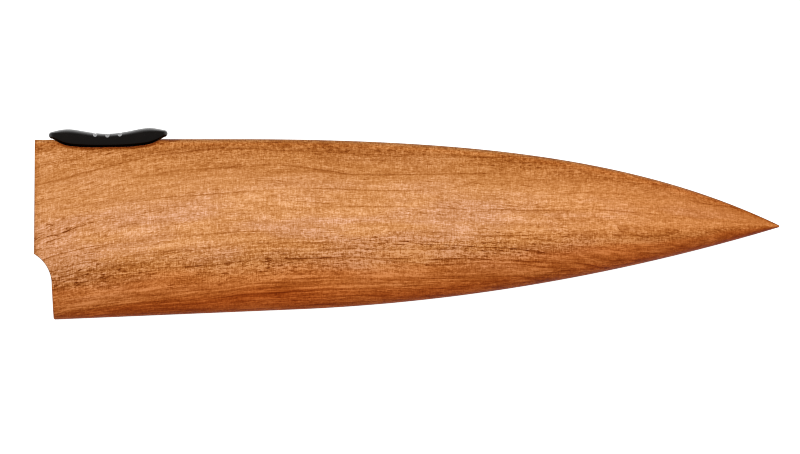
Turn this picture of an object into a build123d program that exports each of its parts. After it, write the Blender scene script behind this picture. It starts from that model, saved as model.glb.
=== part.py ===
from build123d import *

import math
import os

# Blade guard for a chef's knife: two wooden shells glued face to face, with a blade slot
# between them and a rocking thumb latch let into the spine beside the mouth.
#
# All sizes are millimetres. The guard is drawn in its own frame: X runs from the mouth (0)
# to the tip, Y is the height above the straight part of the spine, and Z is the distance
# from the glue plane towards the front face. main() then lays the finished guard on its
# back face, with the origin below the middle of its bounding box.

# Wooden body, outside
guard_length = 224.0  # mouth face to tip
guard_height = 54.0  # spine to the heel corner
shell_thickness = 7.5  # each shell, glue plane to flat face
planing_allowance = 0.1  # planed off both sides of each shell to leave them flat
full_thickness_length = 128.0  # from here on the guard thins towards the tip
spine_straight_length = 64.0  # from here on the spine drops
edge_straight_length = 83.0  # from here on the lower edge rises faster
edge_angle = 2.4  # degrees, slope of the lower edge beside the heel
tip_drop = 26.2  # middle of the tip below the spine
tip_height = 1.1
tip_thickness = 3.0
spine_radius = 2.4  # rounding between a flat face and the spine
spine_radius_share = 0.12  # the rounding's largest share of the height, near the tip
belly_share = 0.36  # share of the height over which a face rounds down to the edge
spine_curve_shares = (0.5, 0.5)  # how much of the spine's drop is square, and fourth power
thinning_power = 3.2  # how late the guard thins towards its tip
station_shares = (
    0.0, 0.1, 0.2, 0.286, 0.37, 0.45, 0.53, 0.605,
    0.675, 0.74, 0.80, 0.855, 0.905, 0.945, 0.975, 1.0,
)  # cross-sections along the length

# Mouth and heel notch
mouth_height = 34.5  # spine to the notch, down the mouth face
notch_radius = 10.5
notch_depth = 5.1  # furthest that the arc bites in from the mouth
heel_setback = 6.0  # mouth face to the heel corner

# Thumb rocker, seen from the front: u is along the guard from the latch's middle
rocker_half_length = 17.7
rocker_tip_radius = 1.05
rocker_tip_rise = 1.15  # centre of the tip's rounding above the spine
rocker_crest_rise = 2.88
rocker_shoulder_rise = 1.95
rocker_waist_rise = 1.15
rocker_belly_drop = 2.6  # lowest point of the underside, below the spine
rocker_crest_share = 0.72  # of the half length
rocker_shoulder_share = 0.385
rocker_belly_shares = ((0.5, 0.93), (0.74, 0.64))  # of the half length, and of the belly's drop
rocker_edge_radius = 0.9
rocker_end_share = 0.34  # corners seen from above, of the width
rocker_rest_tilt = 0.9  # degrees, tip-side end up
grip_groove_pitch = 3.7
grip_groove_radius = 0.75
grip_groove_depth = 0.7

# Room for the rocker in the wood
room_setback = 3.5  # wood between the mouth face and the room
room_side_wall = 2.2  # wood on each side of the room
room_side_clearance = 0.3
room_end_clearance = 0.9
room_floor_gap = 0.5  # rocker's underside to the cradle
scoop_half_length = 17.6
scoop_depth = 2.45
scoop_shares = (
    (-1.0, -0.04), (-0.86, 0.55), (-0.70, 0.89), (-0.45, 1.0), (0.0, 0.96),
    (0.35, 0.83), (0.60, 0.60), (0.83, 0.24), (1.0, -0.04),
)  # along the half length, and of the depth

# Cradle under the rocker, which holds the pivot, the spring and the shoe's guide
cradle_height = 3.9
cradle_end_wall = 3.7  # beyond the shoe's guide
cradle_clearance = 0.05
cradle_corner_share = 0.28  # of the width
cradle_pin_diameter = 1.5
pin_socket_depth = 1.0  # each end of a pin in the wood

# Pivot, under the rocker's middle
pivot_height_share = 0.615  # of the cradle's height
pin_diameter = 1.8
bush_wall = 0.55
lug_wall = 0.65
lug_width = 5.0
lug_clearance = 0.5
bush_clearance = 0.04  # pin in bush
fit_clearance = 0.02  # pins in the cradle and the wood, bush in the lug

# Brake shoe, under the mouth-side arm
shoe_offset = 10.0
shoe_length = 5.2
shoe_width = 3.4
shoe_inset = 0.5  # where foot and shoe meet, above the blade slot
shoe_reach = 0.5  # shoe below the top of the blade slot, before the rest tilt
shoe_corner_radius = 0.5
shoe_peg_diameter = 1.8
shoe_peg_length = 1.6
shoe_side_clearance = 0.35
shoe_end_clearance = 0.7
stop_width = 5.2
stop_length = 7.4
stop_gap = 0.2  # stop above the cradle at rest

# Return spring, under the tip-side arm
spring_offset = 10.0
spring_diameter = 3.4
spring_wire = 0.3
spring_turns = 5
spring_pocket_clearance = 0.3
spring_floor = 0.9  # cradle left under the spring
spring_recess = 1.7  # top of the recess above the rocker's lowest point
spring_end_clearance = 0.04

# Blade slot: its top is level with the underside of the cradle
slot_width = 4.4
edge_wall = 3.7  # wood below the slot
slot_end_height = 2.4  # height at which the slot stops, towards the tip
slot_shares = (0.0, 0.25, 0.5, 0.75, 1.0)  # along each curved side
slot_flare = 1.0  # lead-in on each side of the mouth
slot_flare_length = 3.0

# Alignment dowels between the shells, down the middle of the spine wall
dowel_diameter = 3.0
dowel_cover = 3.5  # wood over each end
dowel_share_of_length = (0.29, 0.51, 0.73)
dowel_clearance = 0.05

overrun = 5.0  # how far cutters stand past what they cut
bisection_steps = 40

# What follows from the sizes above
room_width = 2 * (shell_thickness - room_side_wall)
room_drop = rocker_belly_drop + room_floor_gap
rocker_width = room_width - 2 * room_side_clearance
spine_wall = room_drop + cradle_height
latch_position = room_setback + room_end_clearance + rocker_half_length
cradle_width = room_width - 2 * cradle_clearance
guide_half_length = shoe_length / 2 + shoe_end_clearance
pocket_radius = spring_diameter / 2 + spring_pocket_clearance
arm_room = max(shoe_offset + guide_half_length, spring_offset + pocket_radius)
cradle_half_length = arm_room + cradle_end_wall
cradle_pin_offset = cradle_half_length - cradle_end_wall / 2
pivot_drop = spine_wall - pivot_height_share * cradle_height
bush_bore = pin_diameter + 2 * bush_clearance
bush_diameter = bush_bore + 2 * bush_wall
lug_bore = bush_diameter + 2 * fit_clearance
lug_radius = lug_bore / 2 + lug_wall
shoe_top = spine_wall - shoe_inset
recess_top = spring_recess - rocker_belly_drop
tilt_rise = math.sin(math.radians(rocker_rest_tilt))  # per millimetre from the pivot


def along(x, start):
    """Share of the way from start to the tip."""
    return max(0.0, x - start) / (guard_length - start)


def spine_at(x):
    """Height of the guard's upper outline."""
    share = along(x, spine_straight_length)
    square, fourth = spine_curve_shares
    return -(tip_drop - tip_height / 2) * (square * share**2 + fourth * share**4)


def edge_at(x):
    """Height of the guard's lower outline."""
    slope = math.tan(math.radians(edge_angle))
    straight = -guard_height + slope * (x - heel_setback)
    straight_at_tip = -guard_height + slope * (guard_length - heel_setback)
    rise = -tip_drop - tip_height / 2 - straight_at_tip
    return straight + rise * along(x, edge_straight_length) ** 2


def half_thickness_at(x):
    """Glue plane to the face of one shell, before it is planed."""
    rough = shell_thickness + planing_allowance
    lost = rough - tip_thickness / 2
    return rough - lost * along(x, full_thickness_length) ** thinning_power


def shell_section(x):
    """Cross-section of the front shell: a flat face, a rounded spine and a quarter-ellipse."""
    top, low, half = spine_at(x), edge_at(x), half_thickness_at(x)
    belly = belly_share * (top - low)
    corner = min(spine_radius, spine_radius_share * (top - low))
    # In the sketch, the first coordinate is the height and the second the thickness.
    edge = EllipticalCenterArc((low + belly, 0), belly, half, start_angle=90, arc_size=90)
    face = Line(edge @ 0, (top - corner, half))
    rounding = RadiusArc(face @ 1, (top, half - corner), corner)
    back = Polyline(rounding @ 1, (top, -planing_allowance), (low, -planing_allowance), edge @ 1)
    outline = Wire([edge, face, rounding, *back.edges()])
    return Plane(origin=(x, 0, 0), x_dir=(0, 1, 0), z_dir=(1, 0, 0)) * Face(outline)


def shell_blank():
    """The front shell, shaped outside and planed, before anything is cut into it."""
    blank = loft([shell_section(share * guard_length) for share in station_shares])
    length, height = guard_length + 2 * overrun, guard_height + 2 * overrun
    middle = Pos(guard_length / 2, -guard_height / 2, shell_thickness / 2)
    return blank & middle * Box(length, height, shell_thickness)


def prism(outline, half_depth):
    """A face in the XY plane, extruded equally to both sides of the glue plane."""
    return extrude(outline, amount=half_depth, both=True)


def block(length, height, width, x, top):
    """A box centred at x and on the glue plane, hanging down from top."""
    return Pos(x, top - height / 2, 0) * Box(length, height, width)


def slab(length, height, width, corner, x, top):
    """A block whose four upright corners are rounded."""
    plan = RectangleRounded(length, width, corner)
    return Pos(x, top, 0) * extrude(Plane.XZ * plan, amount=height)


def rod(diameter, length, x, y):
    """A round bar across the guard, centred on the glue plane."""
    return Pos(x, y, 0) * Cylinder(diameter / 2, length)


def post(diameter, height, x, top):
    """A round bar up the guard, centred on the glue plane, hanging down from top."""
    return Pos(x, top - height / 2, 0) * Rot(90, 0, 0) * Cylinder(diameter / 2, height)


def heel_notch():
    """What is cut from the mouth below its face: an arc, then a line to the heel corner."""
    bite = notch_radius - notch_depth
    centre_y = -mouth_height - math.sqrt(notch_radius**2 - bite**2)
    lean = (heel_setback - notch_depth) / (guard_height + centre_y)
    below = -guard_height - overrun
    lower = Polyline(
        (-overrun, centre_y),
        (notch_depth, centre_y),
        (heel_setback + lean * overrun, below),
        (-overrun, below),
        close=True,
    )
    depth = shell_thickness + overrun
    arc = rod(2 * notch_radius, 2 * depth, notch_depth - notch_radius, centre_y)
    return arc + prism(make_face(lower), depth)


def slot_length():
    """Where the room between the walls has narrowed to slot_end_height."""
    near, far = full_thickness_length, guard_length
    for _ in range(bisection_steps):
        middle = (near + far) / 2
        if spine_at(middle) - spine_wall - edge_at(middle) - edge_wall > slot_end_height:
            near = middle
        else:
            far = middle
    return near


def slot_places(start):
    """Places along the slot, from where its side stops being straight to its end."""
    length = slot_length()
    return [start + share * (length - start) for share in slot_shares]


def blade_slot():
    """The routed slot: it follows the outline, and its mouth is flared."""
    upper = [(x, spine_at(x) - spine_wall) for x in slot_places(spine_straight_length)]
    lower = [(x, edge_at(x) + edge_wall) for x in slot_places(edge_straight_length)]
    end = SagittaArc(upper[-1], lower[-1], slot_end_height / 2)
    start = (-overrun, -spine_wall)
    low_start = (-overrun, edge_at(0) + edge_wall)
    straight = Polyline(upper[0], start, low_start, (0, edge_at(0) + edge_wall), lower[0])
    half, wide = slot_width / 2, slot_width / 2 + slot_flare
    room = prism(make_face([Spline(*upper), end, Spline(*lower), straight]), half)
    flare = Polyline(
        (-overrun, wide),
        (0, wide),
        (slot_flare_length, half),
        (slot_flare_length, -half),
        (0, -wide),
        (-overrun, -wide),
        close=True,
    )
    lead_in = extrude(Plane.XZ * make_face(flare), amount=mouth_height - spine_wall)
    return room + Pos(0, -spine_wall, 0) * lead_in


def scoop():
    """Hollow across the spine that lets the thumb reach under the rocker's ends."""
    points = [(u * scoop_half_length, -v * scoop_depth) for u, v in scoop_shares]
    above = Polyline(points[0], (points[0][0], overrun), (points[-1][0], overrun), points[-1])
    cut = prism(make_face([Spline(*points), above]), shell_thickness + overrun)
    return Pos(latch_position, 0, 0) * cut


def rocker_room():
    """Deeper room in which the rocker's arms move."""
    length = 2 * (rocker_half_length + room_end_clearance)
    corner = rocker_end_share * room_width
    return slab(length, room_drop + overrun, room_width, corner, latch_position, overrun)


def cradle_room():
    """Pocket for the cradle, open to the rocker's room above and to the blade slot below."""
    length = 2 * (cradle_half_length + cradle_clearance)
    corner = cradle_corner_share * room_width
    return slab(length, cradle_height, room_width, corner, latch_position, -room_drop)


def pin_places():
    """Name, diameter, x and y of each steel pin."""
    places = [("pivot_pin", pin_diameter, latch_position, -pivot_drop)]
    for name, side in (("rear", -1), ("front", 1)):
        x = latch_position + side * cradle_pin_offset
        places.append((f"cradle_pin_{name}", cradle_pin_diameter, x, cradle_height / 2 - spine_wall))
    return places


def steel_pins():
    length = room_width + 2 * pin_socket_depth
    return {name: rod(diameter, length, x, y) for name, diameter, x, y in pin_places()}


def pin_holes():
    """Holes for the pins, a little wider and longer than they are."""
    spare = 2 * fit_clearance
    length = room_width + 2 * pin_socket_depth + spare
    return Part() + [rod(diameter + spare, length, x, y) for _, diameter, x, y in pin_places()]


def dowels(spare=0.0):
    """The dowels, or with some spare the holes for them."""
    made = {}
    for number, share in enumerate(dowel_share_of_length, 1):
        x = share * guard_length
        y = spine_at(x) - spine_wall / 2
        length = 2 * (shell_thickness - dowel_cover) + spare
        made[f"alignment_dowel_{number}"] = rod(dowel_diameter + spare, length, x, y)
    return made


def shells():
    """Both halves of the wooden body, which mirror each other about the glue plane."""
    front = shell_blank() - heel_notch() - blade_slot()
    front = front - scoop() - rocker_room() - cradle_room() - pin_holes()
    front = front - list(dowels(2 * dowel_clearance).values())
    return {"front_shell": front, "back_shell": mirror(front, about=Plane.XY)}


def cradle():
    """Moulded block under the rocker, with its guide for the shoe and its spring pocket."""
    corner = cradle_corner_share * cradle_width
    length = 2 * cradle_half_length
    body = slab(length, cradle_height, cradle_width, corner, latch_position, -room_drop)
    through, top = cradle_height + 2 * overrun, overrun - room_drop
    lug_room_length = 2 * (lug_radius + lug_clearance)
    lug_room_width = lug_width + 2 * room_side_clearance
    lug_room = block(lug_room_length, through, lug_room_width, latch_position, top)
    guide_width = shoe_width + 2 * shoe_side_clearance
    guide = block(2 * guide_half_length, through, guide_width, latch_position - shoe_offset, top)
    pocket_depth = cradle_height - spring_floor
    pocket = post(2 * pocket_radius, pocket_depth, latch_position + spring_offset, -room_drop)
    return body - lug_room - guide - pocket - pin_holes()


def mirrored_spline(middle, right):
    """A smooth line through the points on the right, the middle, and their mirror images."""
    return Spline(*[(-u, v) for u, v in reversed(right)], (0, middle), *right)


def rocker_bar():
    """The curved bar that the thumb finds, with rounded sides and ends."""
    half, reach = rocker_half_length, rocker_half_length - rocker_tip_radius
    tip_top = rocker_tip_rise + rocker_tip_radius
    tip_low = rocker_tip_rise - rocker_tip_radius
    shoulder = (rocker_shoulder_share * half, rocker_shoulder_rise)
    crest = (rocker_crest_share * half, rocker_crest_rise)
    top = mirrored_spline(rocker_waist_rise, [shoulder, crest, (reach, tip_top)])
    low = [(u * half, -v * rocker_belly_drop) for u, v in rocker_belly_shares]
    belly = mirrored_spline(-rocker_belly_drop, low + [(reach, tip_low)])
    tips = [
        ThreePointArc((side * reach, tip_top), (side * half, rocker_tip_rise), (side * reach, tip_low))
        for side in (-1, 1)
    ]
    bar = prism(make_face([top, belly, *tips]), rocker_width / 2)
    bar = fillet(bar.faces().filter_by(Axis.Z).edges(), rocker_edge_radius)
    height = rocker_crest_rise + rocker_belly_drop + 2 * overrun
    corner = rocker_end_share * rocker_width
    return bar & slab(2 * half, height, rocker_width, corner, 0, rocker_crest_rise + overrun)


def grip_grooves():
    """Three grooves across the waist, for the thumb."""
    shoulder = rocker_shoulder_share * rocker_half_length
    rise = rocker_shoulder_rise - rocker_waist_rise
    lift = grip_groove_radius - grip_groove_depth
    made = []
    for place in (-1, 0, 1):
        u = place * grip_groove_pitch
        top = rocker_waist_rise + rise * (u / shoulder) ** 2
        made.append(rod(2 * grip_groove_radius, rocker_width + overrun, u, top + lift))
    return made


def on_rocker(shape):
    """Sets a piece drawn about the latch's middle to the rocker's rest tilt."""
    tilt = Pos(0, -pivot_drop, 0) * Rot(0, 0, rocker_rest_tilt) * Pos(0, pivot_drop, 0)
    return Pos(latch_position, 0, 0) * tilt * shape


def shoe_peg():
    return post(shoe_peg_diameter, shoe_peg_length, -shoe_offset, shoe_peg_length - shoe_top)


def rocker():
    """Bar, pivot lug, and the foot that carries the shoe, in one moulding."""
    neck = block(2 * lug_radius, pivot_drop, lug_width, 0, 0)
    lug = neck + rod(2 * lug_radius, lug_width, 0, -pivot_drop)
    foot = block(shoe_length, shoe_top, shoe_width, -shoe_offset, 0)
    stop_drop = room_drop - stop_gap - shoe_offset * tilt_rise
    stop = block(stop_length, stop_drop, stop_width, -shoe_offset, 0)
    recess = post(2 * pocket_radius, overrun, spring_offset, recess_top)
    bore = rod(lug_bore, lug_width + overrun, 0, -pivot_drop)
    body = rocker_bar() + (lug + foot + stop)
    return on_rocker(body - bore - shoe_peg() - recess - grip_grooves())


def bush():
    """Brass sleeve in the lug, running on the pivot pin."""
    sleeve = rod(bush_diameter, lug_width, 0, -pivot_drop)
    return on_rocker(sleeve - rod(bush_bore, lug_width + overrun, 0, -pivot_drop))


def shoe():
    """Soft shoe that bears on the blade's spine, held by a peg in the foot."""
    pad = block(shoe_length, shoe_inset + shoe_reach, shoe_width, -shoe_offset, -shoe_top)
    low = pad.faces().sort_by(Axis.Y)[0].edges().filter_by(Axis.Z)
    return on_rocker(fillet(low, shoe_corner_radius) + shoe_peg())


def spring():
    """Compression spring between the cradle's pocket and the rocker's recess."""
    low = spring_floor + spring_end_clearance - spine_wall
    high = recess_top + spring_offset * tilt_rise - spring_end_clearance
    rise = high - low - spring_wire
    helix = Helix(rise / spring_turns, rise, (spring_diameter - spring_wire) / 2)
    wire = sweep(Plane(helix @ 0, z_dir=helix % 0) * Circle(spring_wire / 2), path=helix)
    print("spring turn gap", round(rise / spring_turns - spring_wire, 2))
    foot = Pos(latch_position + spring_offset, low + spring_wire / 2, 0)
    return foot * Rot(-90, 0, 0) * wire


def resting_place(made):
    """Lays the guard on its back face, with the origin below the middle of its box."""
    box = Compound([solid for shape in made.values() for solid in shape.solids()]).bounding_box()
    middle = box.center()
    return Pos(-middle.X, -middle.Y, -box.min.Z)


def main():
    made = shells()
    made.update(dowels())
    made.update(steel_pins())
    made["latch_cradle"] = cradle()
    made["thumb_rocker"] = rocker()
    made["pivot_bush"] = bush()
    made["brake_shoe"] = shoe()
    made["return_spring"] = spring()
    place = resting_place(made)
    print("drawing frame lies at", place.position)
    os.makedirs("parts", exist_ok=True)
    for name, shape in made.items():
        solids = [place * solid for solid in shape.solids()]
        export_step(solids[0] if len(solids) == 1 else Compound(solids), f"parts/{name}.step")


main()
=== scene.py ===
import logging
import math
from collections.abc import Callable, Iterator, Sequence
from contextlib import contextmanager
from dataclasses import dataclass
from enum import Enum
from itertools import pairwise

import bmesh
import bpy
import numpy as np
from mathutils import Matrix, Vector


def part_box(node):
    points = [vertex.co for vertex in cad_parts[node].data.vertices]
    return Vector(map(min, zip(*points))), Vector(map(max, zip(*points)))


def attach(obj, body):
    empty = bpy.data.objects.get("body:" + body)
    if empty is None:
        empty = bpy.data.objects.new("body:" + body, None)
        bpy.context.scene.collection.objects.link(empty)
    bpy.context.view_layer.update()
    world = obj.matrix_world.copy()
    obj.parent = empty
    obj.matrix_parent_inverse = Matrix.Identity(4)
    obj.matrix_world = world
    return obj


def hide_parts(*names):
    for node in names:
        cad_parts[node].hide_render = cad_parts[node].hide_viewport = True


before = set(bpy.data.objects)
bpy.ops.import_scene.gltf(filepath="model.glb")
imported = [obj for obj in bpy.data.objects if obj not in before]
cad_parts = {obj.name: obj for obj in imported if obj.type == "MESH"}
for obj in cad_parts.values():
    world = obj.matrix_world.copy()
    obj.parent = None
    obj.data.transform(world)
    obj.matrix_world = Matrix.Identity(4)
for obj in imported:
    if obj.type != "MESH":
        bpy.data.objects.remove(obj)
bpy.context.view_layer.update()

# Blade guard for a chef's knife: two wooden shells glued face to face, and a black thumb
# rocker in a scoop across their spine.
#
# Sizes are millimetres in the drawing frame: X runs from the mouth (0) to the tip, Y is the
# height above the straight part of the spine, and Z is the distance from the glue plane
# towards the front face. Meshes are made in metres in the row frame.

MM = 0.001
GUARD, ROCKER = "guard", "rocker"
QUARTER_TURN = math.radians(90)
CYLINDER_SIDES = 48
SLAB_CORNER_SEGMENTS = 10
MERGE_DISTANCE = 2e-6  # metres
LATCH_POSITION = 22.1  # of the rocker's pivot, from the mouth
PIVOT_DROP = 4.6015  # below the spine line
ORIGIN = (0.0, 0.0, 0.0)
WHITE = (1.0, 1.0, 1.0, 1.0)
log = logging.getLogger("blade_guard")

Numbers = np.ndarray
Triple = tuple[float, float, float]
Colour = tuple[float, float, float, float]
Span = tuple[float, float]
Stops = Sequence[tuple[float, float]]  # places and values, with the places rising


class Join(Enum):
    """What a boolean does with the tool."""

    ADD = "UNION"
    CUT = "DIFFERENCE"


class Side(Enum):
    """Which half of the wooden body, seen from the glue plane."""

    FRONT = 1
    BACK = -1


@dataclass(frozen=True)
class DrawingFrame:
    """Where the drawing's mouth, spine line and glue plane lie in the row frame, in metres."""

    mouth: float
    spine: float
    glue_plane: float

    @classmethod
    def from_cad(cls) -> "DrawingFrame":
        """Reads the place of the drawing off the front shell's box."""
        low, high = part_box("front_shell")
        return cls(low.x, high.y, low.z)

    def point(self, x: float, y: float, z: float = 0.0) -> Vector:
        """A point of the drawing, in the row frame."""
        return Vector((self.mouth, self.spine, self.glue_plane)) + MM * Vector((x, y, z))


DRAWING = DrawingFrame.from_cad()


def natural_spline(points: Stops) -> Callable[[Numbers], Numbers]:
    """A smooth line through points, straight at both ends.

    Args:
        points: Places and values, with the places rising.

    Returns:
        A function that gives the values at an array of places.
    """
    x, y = np.array(points, float).T
    step = np.diff(x)
    slope = np.diff(y) / step
    size = len(x)
    system, right = np.eye(size), np.zeros(size)
    for i in range(1, size - 1):
        system[i, i - 1 : i + 2] = step[i - 1], 2 * (step[i - 1] + step[i]), step[i]
        right[i] = 6 * (slope[i] - slope[i - 1])
    bend = np.linalg.solve(system, right)

    def value(at: Numbers) -> Numbers:
        """The line's value at each place.

        Args:
            at: Places.

        Returns:
            The values.
        """
        at = np.asarray(at, float)
        i = np.clip(np.searchsorted(x, at) - 1, 0, size - 2)
        h, a, b = step[i], x[i + 1] - at, at - x[i]
        curved = (bend[i] * a**3 + bend[i + 1] * b**3) / (6 * h)
        return curved + (y[i] / h - bend[i] * h / 6) * a + (y[i + 1] / h - bend[i + 1] * h / 6) * b

    return value


def select_only(piece: bpy.types.Object) -> None:
    """Deselects everything else and makes the piece active.

    Args:
        piece: The piece to select.
    """
    bpy.ops.object.select_all(action="DESELECT")
    piece.select_set(True)
    bpy.context.view_layer.objects.active = piece


@contextmanager
def edit_mode(piece: bpy.types.Object) -> Iterator[None]:
    """Holds a piece in edit mode for the time of a with block.

    Args:
        piece: The piece to edit.

    Yields:
        Nothing, once.
    """
    select_only(piece)
    bpy.ops.object.mode_set(mode="EDIT")
    yield
    bpy.ops.object.mode_set(mode="OBJECT")


def pick(piece: bpy.types.Object, wanted: Callable[[Vector], bool]) -> None:
    """Selects vertices in edit mode, and what lies between them.

    Args:
        piece: The piece that is in edit mode.
        wanted: Says of a vertex's place whether it is selected.
    """
    mesh = bmesh.from_edit_mesh(piece.data)
    for vertex in mesh.verts:
        vertex.select_set(wanted(vertex.co))
    mesh.select_flush_mode()
    bmesh.update_edit_mesh(piece.data)


def add_primitive(
    name: str, add: Callable[..., object], scale: Sequence[float] = (1, 1, 1), **settings: object
) -> bpy.types.Object:
    """Adds a primitive, names it, and puts its place and scale into its mesh.

    Args:
        name: Name of the object and its mesh.
        add: Blender's operator for the primitive.
        scale: Scale along each axis.
        **settings: What the operator takes.

    Returns:
        The new object, which alone is selected.
    """
    bpy.ops.object.select_all(action="DESELECT")
    add(**settings)
    piece = bpy.context.active_object
    piece.scale = scale
    piece.name = piece.data.name = name
    bpy.ops.object.transform_apply(location=True, rotation=True, scale=True)
    return piece


def add_block(name: str, low: Vector, high: Vector) -> bpy.types.Object:
    """A box between two corners, to be shaped further.

    Args:
        name: Name of the object.
        low: Its lowest corner, in the row frame.
        high: Its highest corner.

    Returns:
        The new object.
    """
    return add_primitive(
        name, bpy.ops.mesh.primitive_cube_add, high - low, size=1, location=(low + high) / 2
    )


def add_slab(
    name: str, length: float, width: float, corner: float, x: float, low: float, high: float
) -> bpy.types.Object:
    """A block whose four upright corners are rounded.

    Args:
        name: Name of the object.
        length: Along the guard.
        width: Across the guard, centred on the glue plane.
        corner: Radius of the upright corners.
        x: Middle along the guard.
        low: Height of the underside.
        high: Height of the top.

    Returns:
        The new object.
    """
    slab = add_block(
        name,
        DRAWING.point(x - length / 2, low, -width / 2),
        DRAWING.point(x + length / 2, high, width / 2),
    )
    with edit_mode(slab):
        bpy.ops.mesh.select_mode(type="EDGE")
        mesh = bmesh.from_edit_mesh(slab.data)
        for edge in mesh.edges:
            run = edge.verts[1].co - edge.verts[0].co
            edge.select_set(max(abs(run.x), abs(run.z)) < MERGE_DISTANCE)
        bmesh.update_edit_mesh(slab.data)
        bpy.ops.mesh.bevel(offset=corner * MM, segments=SLAB_CORNER_SEGMENTS, affect="EDGES")
        bpy.ops.mesh.select_mode(type="VERT")
    return slab


def add_rod(
    name: str, diameter: float, length: float, centre: Vector, turn: float = 0.0
) -> bpy.types.Object:
    """A round bar.

    Args:
        name: Name of the object.
        diameter: Of the bar.
        length: Of the bar.
        centre: Its middle, in the row frame.
        turn: Angle about the guard's length, from a bar that lies across the guard.

    Returns:
        The new object.
    """
    return add_primitive(
        name, bpy.ops.mesh.primitive_cylinder_add, vertices=CYLINDER_SIDES,
        radius=diameter / 2 * MM, depth=length * MM, location=centre, rotation=(turn, 0, 0),
    )


def add_post(name: str, diameter: float, x: float, low: float, high: float) -> bpy.types.Object:
    """A round bar up the guard between two heights, centred on the glue plane."""
    centre = DRAWING.point(x, (low + high) / 2)
    return add_rod(name, diameter, high - low, centre, QUARTER_TURN)


def combine(piece: bpy.types.Object, tool: bpy.types.Object, join: Join) -> None:
    """Adds a tool's solid to a piece or cuts it away, and deletes the tool.

    Args:
        piece: The piece that stays.
        tool: The solid that is used up.
        join: What is done with it.
    """
    modifier = piece.modifiers.new(join.name.lower(), "BOOLEAN")
    modifier.operation = join.value
    modifier.solver = "EXACT"
    modifier.object = tool
    select_only(piece)
    bpy.ops.object.modifier_apply(modifier=modifier.name)
    bpy.data.objects.remove(tool)


def close_up(piece: bpy.types.Object, smooth_below: float = 32.0) -> None:
    """Merges doubles, turns the faces outwards and shades the shallow edges smooth.

    Args:
        piece: The piece to finish.
        smooth_below: Angle up to which an edge is smooth, in degrees.
    """
    with edit_mode(piece):
        bpy.ops.mesh.select_all(action="SELECT")
        bpy.ops.mesh.remove_doubles(threshold=MERGE_DISTANCE)
        bpy.ops.mesh.dissolve_degenerate(threshold=1e-7)
        bpy.ops.mesh.normals_make_consistent(inside=False)
    bpy.ops.object.shade_smooth_by_angle(angle=math.radians(smooth_below))


@dataclass(frozen=True)
class Station:
    """A cross-section of a lofted bar: its place along the guard, its span and its width."""

    x: float
    low: float
    high: float
    width: float

    @property
    def middle(self) -> float:
        """Height of the section's centre."""
        return (self.low + self.high) / 2

    @property
    def height(self) -> float:
        """From the section's underside to its top."""
        return self.high - self.low


def loft(
    name: str, start: Station, corners: Span, stations: Sequence[Station], rounding: int = 6
) -> bpy.types.Object:
    """A bar that is extruded from section to section, each a scaled copy of the first.

    Args:
        name: Name of the object.
        start: Section that the corner radii are meant for.
        corners: Radius of the two upper and of the two lower corners of that section.
        stations: Sections from one end to the other.
        rounding: Segments in each corner.

    Returns:
        The closed bar.
    """
    centre = DRAWING.point(start.x, start.middle)
    scale = start.width * MM, start.height * MM, 1
    bar = add_primitive(name, bpy.ops.mesh.primitive_plane_add, scale, size=1, location=centre,
                        rotation=(0, QUARTER_TURN, 0))
    with edit_mode(bar):
        for radius, upper in zip(corners, (True, False)):
            if radius:
                pick(bar, lambda place: (place.y > centre.y) == upper)
                bpy.ops.mesh.bevel(offset=radius * MM, segments=rounding, affect="VERTICES")
        bpy.ops.mesh.select_all(action="SELECT")
        set_section(start, stations[0])
        for before, after in pairwise(stations):
            bpy.ops.mesh.extrude_region_move()
            set_section(before, after)
        bpy.ops.mesh.select_all(action="SELECT")
        bpy.ops.mesh.normals_make_consistent(inside=False)
    return bar


def set_section(before: Station, after: Station) -> None:
    """Moves and scales the selected section from one station to the next.

    Args:
        before: Where the section is.
        after: Where it goes.
    """
    bpy.ops.transform.translate(
        value=((after.x - before.x) * MM, (after.middle - before.middle) * MM, 0)
    )
    bpy.ops.transform.resize(
        value=(1, after.height / before.height, after.width / before.width),
        center_override=DRAWING.point(after.x, after.middle),
    )


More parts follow.
